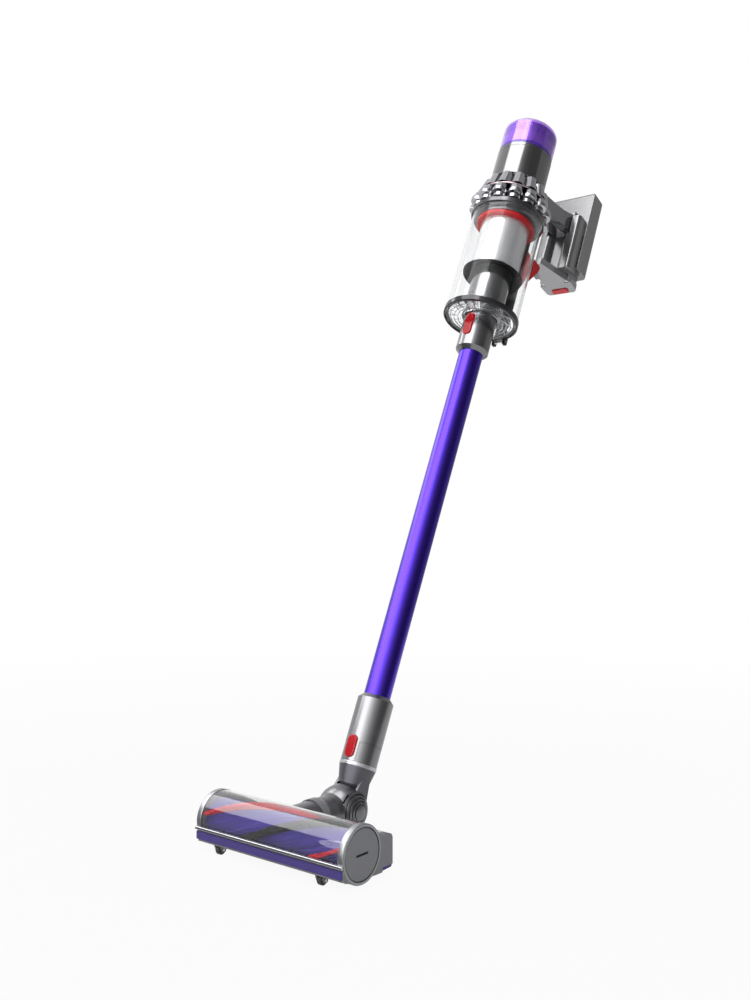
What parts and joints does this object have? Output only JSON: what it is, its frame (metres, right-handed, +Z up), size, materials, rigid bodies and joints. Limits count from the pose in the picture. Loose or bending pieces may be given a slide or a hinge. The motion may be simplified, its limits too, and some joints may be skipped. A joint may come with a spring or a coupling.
{
  "type": "cordless stick vacuum",
  "caption": "Stick vacuum with a cyclone handheld, clear bin, slide-off battery, metal wand, pitching and swivelling elbow and a powered roller head.",
  "frame": {"origin": "on the floor straight below the brush roller's axis, on the head's middle plane", "axes": "+Z up from the floor, +Y from the roller back towards the user and the way the stick leans, +X along the roller to the end cap"},
  "size_m": [0.25, 0.8183, 1.0936],
  "materials": {
    "wand_metal": "anodised satin",
    "grey_metal": "metallised satin nickel",
    "silver": "metallised satin",
    "dark_chrome": "metallised dark chrome",
    "dark_gloss": "gloss",
    "grey_plastic": "satin",
    "black_plastic": "matt",
    "light_plastic": "satin",
    "red_plastic": "satin",
    "clear": "clear",
    "violet_clear": "translucent",
    "violet_felt": "felt",
    "violet_nap": "short nap",
    "red_bristle": "bristle",
    "black_bristle": "bristle",
    "rubber": "matt",
    "steel": "ground",
    "filter_paper": "pleated",
    "cell_wrap": "shrink sleeve"
  },
  "bodies": {
    "handheld": {"inlet_duct": "grey_plastic", "shroud_skirt": "black_plastic", "shroud": "silver", "seal_ring": "red_plastic", "cyclone_collar": "grey_metal", "cyclone_pack": "dark_chrome", "cyclone_trim_ring": "violet_clear", "motor_housing": "grey_metal", "motor_stator": "steel", "grip": "dark_gloss", "bin_runner": "black_plastic"},
    "rotor": {"motor_shaft": "steel", "impeller": "grey_plastic"},
    "filter": {"filter_ring": "black_plastic", "filter_cap": "violet_clear", "filter_element": "filter_paper"},
    "trigger": {"trigger": "red_plastic"},
    "bin": {"bin_wall": "clear", "bin_rim": "grey_plastic", "flap_pin": "steel"},
    "flap": {"bin_flap": "clear"},
    "release_lever": {"bin_release_lever": "red_plastic"},
    "battery": {"battery_case": "grey_plastic", "battery_foot": "grey_plastic", "battery_end_cap": "silver", "battery_cells": "cell_wrap", "battery_screws": "steel"},
    "battery_release": {"battery_button": "red_plastic"},
    "wand": {"wand_tube": "wand_metal", "wand_upper_cuff": "grey_metal", "wand_lower_cuff": "grey_metal"},
    "upper_latch": {"upper_latch_button": "red_plastic"},
    "lower_latch": {"lower_latch_button": "red_plastic"},
    "neck": {"neck_tube": "grey_metal", "neck_band": "light_plastic", "elbow_bellows": "rubber", "elbow_pins": "steel"},
    "elbow": {"ball_housing": "grey_plastic", "swivel_collar": "grey_plastic"},
    "head": {"head_chassis": "grey_plastic", "head_rear_cover": "grey_plastic", "head_wing": "light_plastic", "head_duct": "grey_plastic", "head_window": "clear", "front_bar": "silver", "front_felt": "violet_felt", "rear_felt": "violet_felt", "rear_bristles": "red_bristle", "brush_motor": "steel", "wheel_axles": "steel"},
    "roller_door": {"end_cap": "grey_plastic", "brush_bearing": "steel"},
    "roller": {"brush_core": "black_plastic", "brush_fabric": "violet_nap", "bristle_strips_red": "red_bristle", "bristle_strips_black": "black_bristle"},
    "wheel_fl": {"front_wheel_left": "rubber"},
    "wheel_fr": {"front_wheel_right": "rubber"},
    "wheel_rl": {"rear_roller_left": "rubber"},
    "wheel_rr": {"rear_roller_right": "rubber"}
  },
  "joints": [
    {"name": "rotor_spin", "type": "hinge", "parent": "handheld", "child": "rotor", "pos_m": [0, 0.43872, 0.73774], "axis": [0, 0.4209, 0.9071], "continuous": true},
    {"name": "filter_twist", "type": "hinge", "parent": "handheld", "child": "filter", "pos_m": [0, 0.43872, 0.73774], "axis": [0, 0.4209, 0.9071], "range_deg": [0, 30]},
    {"name": "trigger_press", "type": "slide", "parent": "handheld", "child": "trigger", "axis": [0, 0.4209, 0.9071], "range_m": [0, 0.005], "stiffness_N_per_m": 400, "springref_m": -0.001},
    {"name": "bin_slide", "type": "slide", "parent": "handheld", "child": "bin", "axis": [0, -0.4209, -0.9071], "range_m": [0, 0.03]},
    {"name": "flap_hinge", "type": "hinge", "parent": "bin", "child": "flap", "pos_m": [0, 0.49594, 0.71185], "axis": [1, 0, 0], "range_deg": [0, 8]},
    {"name": "lever_slide", "type": "slide", "parent": "handheld", "child": "release_lever", "axis": [0, -0.4209, -0.9071], "range_m": [0, 0.012], "stiffness_N_per_m": 150, "springref_m": -0.004},
    {"name": "battery_slide", "type": "slide", "parent": "handheld", "child": "battery", "axis": [0, 0.981, -0.1941], "range_m": [0, 0.1]},
    {"name": "battery_button_press", "type": "slide", "parent": "battery", "child": "battery_release", "axis": [0, 0.4209, 0.9071], "range_m": [0, 0.0025], "stiffness_N_per_m": 400, "springref_m": -0.001},
    {"name": "wand_slide", "type": "slide", "parent": "handheld", "child": "wand", "axis": [0, -0.4209, -0.9071], "range_m": [0, 0.06]},
    {"name": "upper_latch_press", "type": "slide", "parent": "wand", "child": "upper_latch", "axis": [0, 0.9071, -0.4209], "range_m": [0, 0.002], "stiffness_N_per_m": 400, "springref_m": -0.001},
    {"name": "neck_slide", "type": "slide", "parent": "wand", "child": "neck", "axis": [0, -0.4209, -0.9071], "range_m": [0, 0.045]},
    {"name": "lower_latch_press", "type": "slide", "parent": "wand", "child": "lower_latch", "axis": [0, 0.9071, -0.4209], "range_m": [0, 0.0015], "stiffness_N_per_m": 400, "springref_m": -0.001},
    {"name": "elbow_pitch", "type": "hinge", "parent": "neck", "child": "elbow", "pos_m": [0, 0.108, 0.043], "axis": [1, 0, 0], "range_deg": [-24.8, 55]},
    {"name": "head_swivel", "type": "hinge", "parent": "elbow", "child": "head", "pos_m": [0, 0.06, 0.043], "axis": [0, 1, 0], "range_deg": [-60, 60]},
    {"name": "end_cap_turn", "type": "hinge", "parent": "head", "child": "roller_door", "pos_m": [0, 0, 0.036], "axis": [1, 0, 0], "range_deg": [0, 90]},
    {"name": "roller_spin", "type": "hinge", "parent": "head", "child": "roller", "pos_m": [0, 0, 0.036], "axis": [1, 0, 0], "continuous": true},
    {"name": "front_wheel_left_spin", "type": "hinge", "parent": "head", "child": "wheel_fl", "pos_m": [-0.087, -0.028, 0.0065], "axis": [1, 0, 0], "continuous": true},
    {"name": "front_wheel_right_spin", "type": "hinge", "parent": "head", "child": "wheel_fr", "pos_m": [0.087, -0.028, 0.0065], "axis": [1, 0, 0], "continuous": true},
    {"name": "rear_roller_left_spin", "type": "hinge", "parent": "head", "child": "wheel_rl", "pos_m": [-0.062, 0.049, 0.0055], "axis": [1, 0, 0], "continuous": true},
    {"name": "rear_roller_right_spin", "type": "hinge", "parent": "head", "child": "wheel_rr", "pos_m": [0.062, 0.049, 0.0055], "axis": [1, 0, 0], "continuous": true}
  ]
}
